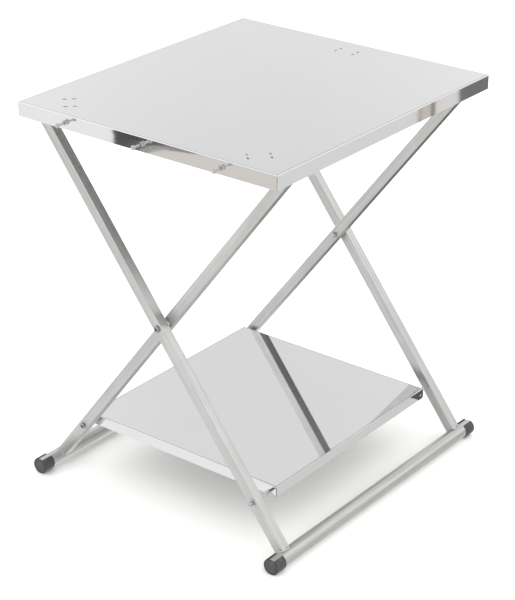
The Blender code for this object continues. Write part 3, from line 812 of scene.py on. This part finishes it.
def peg_stud(name, node):
    low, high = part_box(node)
    ball_middle = high.y - low.y - BALL_RADIUS
    neck = math.degrees(math.acos(NECK_RADIUS / BALL_RADIUS))
    rings = [(STUD_RADIUS * 0.8, 0.0), (STUD_RADIUS, 0.0004),
             (STUD_RADIUS, ball_middle - 0.0056), (NECK_RADIUS, ball_middle - 0.0042)]
    for step in range(BALL_STEPS + 1):
        angle = math.radians(-neck + (neck + 86.0) * step / BALL_STEPS)
        rings.append((BALL_RADIUS * math.cos(angle), ball_middle + BALL_RADIUS * math.sin(angle)))
    return lay_on(turn_up(name, rings), node, -1)


def peg_collar(name, node):
    low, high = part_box(node)
    collar = hexagon(name, COLLAR_FLATS, high.y - low.y)
    return lay_on(drill(collar, COLLAR_BORE, -0.001, 0.008), node, -1)


first_stud = peg_stud("ball_stud_left", "peg_stud_left")
first_collar = peg_collar("hexagon_collar_left", "peg_collar_left")
for word in ("left", "middle", "right"):
    step = Matrix.Translation((centre("peg_stud_" + word).x - centre("peg_stud_left").x, 0.0, 0.0))
    stud, collar = first_stud, first_collar
    if word != "left":
        stud = copy_piece(first_stud, "ball_stud_" + word, step)
        collar = copy_piece(first_collar, "hexagon_collar_" + word, step)
    finish_piece(stud, "top", finishes["chrome"], 40, ["peg_stud_" + word])
    finish_piece(collar, "top", finishes["chrome"], SMOOTH_NUT, ["peg_collar_" + word])

# %% [markdown]
# **Slot lips.** The twelve foot slots of the top are pressed downwards, so each has a short oval
# lip below the sheet that the eye meets before it can look through. One lip is an outline of two
# half circles drawn down and given the sheet's thickness, and the others are turned copies.

# %% Slot lips
SLOT_REACH = 0.00275            # from the slot's middle to the centres of its round ends
LIP_RADIUS = 0.0016
LIP_DEPTH = 0.0026
LIP_SHEET = 0.0007
SHEET_THICKNESS = 0.0011
HALF_ROW, HALF_COLUMN = 0.008, 0.0185       # from a group's middle to its slots, both ways
# Each group of four slots has its middle's x and y, and its turn in degrees.
SLOT_GROUPS = {"left": (-0.1975, -0.253, 45), "right": (0.1985, -0.253, 135),
               "rear": (0.003, 0.253, 90)}

bpy.ops.object.select_all(action="DESELECT")
bpy.ops.mesh.primitive_circle_add(vertices=24, radius=LIP_RADIUS, fill_type="NOTHING",
                                  location=(0.0, 0.0, 0.0))
lip = bpy.context.object
for point in lip.data.vertices:
    if abs(point.co.x) > 0.00001:
        point.co.x += math.copysign(SLOT_REACH, point.co.x)
bpy.ops.object.mode_set(mode="EDIT")
bpy.ops.mesh.select_all(action="SELECT")
bpy.ops.mesh.extrude_region_move(TRANSFORM_OT_translate={"value": (0.0, 0.0, -LIP_DEPTH)})
bpy.ops.transform.resize(value=(0.98, 0.94, 1.0), center_override=(0.0, 0.0, -LIP_DEPTH))
bpy.ops.mesh.select_all(action="SELECT")
bpy.ops.mesh.normals_make_consistent(inside=False)
bpy.ops.object.mode_set(mode="OBJECT")
wall = lip.modifiers.new("sheet", "SOLIDIFY")
wall.thickness = LIP_SHEET
wall.offset = 1.0
bpy.ops.object.modifier_apply(modifier=wall.name)

sheet_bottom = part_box("tabletop_tray")[1].z - SHEET_THICKNESS
for word, (group_x, group_y, degrees) in SLOT_GROUPS.items():
    angle = math.radians(degrees)
    lips = []
    for out in (-HALF_ROW, HALF_ROW):
        for side in (-HALF_COLUMN, HALF_COLUMN):
            x = group_x + out * math.cos(angle) - side * math.sin(angle)
            y = MIDDLE_Y + group_y + out * math.sin(angle) + side * math.cos(angle)
            to_place = Matrix.Translation((x, y, sheet_bottom)) @ Matrix.Rotation(angle, 4, "Z")
            lips.append(copy_piece(lip, "slot_lips_" + word, to_place))
    select_only(lips[0])
    for other in lips[1:]:
        other.select_set(True)
    bpy.ops.object.join()
    lips[0].name = "slot_lips_" + word
    finish_piece(lips[0], "top", finishes["tabletop_tray"], 35)
bpy.data.objects.remove(lip, do_unlink=True)

# %% [markdown]
# **Weld beads.** The legs are coped over the round foot bars and welded all round. A bead follows
# the joint: it starts as a square the size of the tube, its corners are rounded, each point is
# moved along the leg until it lies on the bar, and the loop becomes a rippled cord of weld metal.

# %% Weld beads
LEG_SIDE = 0.0190
LEG_CORNER = 0.0016
BAR_RADIUS = 0.0132
BEAD_RADIUS = 0.0011
BEAD_LIFT = 0.0003
LOOP_CUTS = 11


def weld_bead(name, bar_node, leg_node, lean):
    foot = Vector((centre(bar_node).x, centre(leg_node).y, centre(bar_node).z))
    bpy.ops.object.select_all(action="DESELECT")
    bpy.ops.mesh.primitive_plane_add(size=LEG_SIDE, location=(0.0, 0.0, 0.0))
    loop = bpy.context.object
    bpy.ops.object.mode_set(mode="EDIT")
    bpy.ops.mesh.select_all(action="SELECT")
    bpy.ops.mesh.bevel(offset=LEG_CORNER, segments=3, affect="VERTICES")
    bpy.ops.mesh.delete(type="ONLY_FACE")
    bpy.ops.mesh.select_all(action="SELECT")
    bpy.ops.mesh.subdivide(number_cuts=LOOP_CUTS)
    bpy.ops.object.mode_set(mode="OBJECT")
    tilt = Matrix.Rotation(lean * LEG_LEAN, 4, "Y")
    for point in loop.data.vertices:
        point.co.z = math.sqrt(max(BAR_RADIUS ** 2 - point.co.x ** 2, 0.0)) + BEAD_LIFT
        point.co = tilt @ point.co + foot
    select_only(loop)
    bpy.ops.object.convert(target="CURVE")
    cord = bpy.context.object
    cord.data.bevel_depth = BEAD_RADIUS
    cord.data.bevel_resolution = 3
    for spline in cord.data.splines:
        for number, point in enumerate(spline.points):
            point.radius = 1.0 + 0.16 * math.sin(number * 1.9) + 0.08 * math.sin(number * 0.7)
    bpy.ops.object.convert(target="MESH")
    bead = bpy.context.object
    bead.name = name
    return bead


for bar, leg, body, lean in (("foot_bar_right", "outer_leg", "outer_frame", -1),
                             ("foot_bar_left", "inner_leg", "inner_frame", 1)):
    front = weld_bead("weld_%s_front" % leg, bar, leg + "_front", lean)
    to_rear = centre(leg + "_rear").y - centre(leg + "_front").y
    rear = copy_piece(front, "weld_%s_rear" % leg, Matrix.Translation((0.0, to_rear, 0.0)))
    for piece in (front, rear):
        finish_piece(piece, body, satin_tubes["level"], 50)

# %% [markdown]
# The last cell brings the scene up to date.

# %% Finish
bpy.context.view_layer.update()
